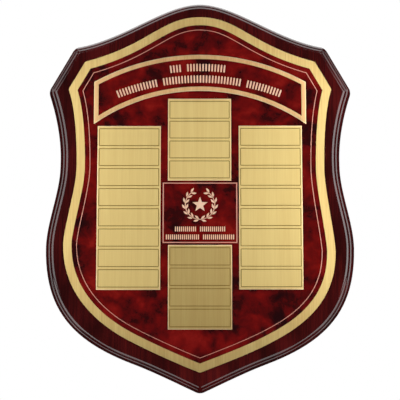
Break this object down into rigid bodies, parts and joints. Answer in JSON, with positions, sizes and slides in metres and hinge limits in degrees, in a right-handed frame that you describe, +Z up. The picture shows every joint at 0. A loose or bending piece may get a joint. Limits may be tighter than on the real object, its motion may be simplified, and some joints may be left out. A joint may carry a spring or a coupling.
{
  "type": "award shield plaque",
  "caption": "Shield-shaped award plaque to hang on a wall: moulded glossy wood board, marbled red face plate with gold border, arched title plate, centre plate and engraved brass name plates.",
  "frame": {"origin": "the point of the flat back face, on the middle line just above the keyhole slot, that lies on the wall where the plaque hangs", "axes": "+Z up, +Y out of the back towards the wall, the front faces -Y, +X to the right as seen from the front"},
  "size_m": [0.3608, 0.0202, 0.4612],
  "materials": {
    "lacquered_wood": "dark red-brown rosewood stain under high-gloss lacquer",
    "marbled_coating": "marbled red coating on brass plate, bare gold brass where it is left off or engraved through",
    "brushed_brass": "satin brass brushed upright, with engraved box lines"
  },
  "bodies": {
    "root": {"shield_board": "lacquered_wood", "shield_face_plate": "marbled_coating", "title_plate": "marbled_coating", "centre_plate": "marbled_coating", "winners_plate_left": "brushed_brass", "winners_plate_right": "brushed_brass", "winners_plate_top": "brushed_brass", "winners_plate_bottom": "brushed_brass"}
  },
  "joints": []
}
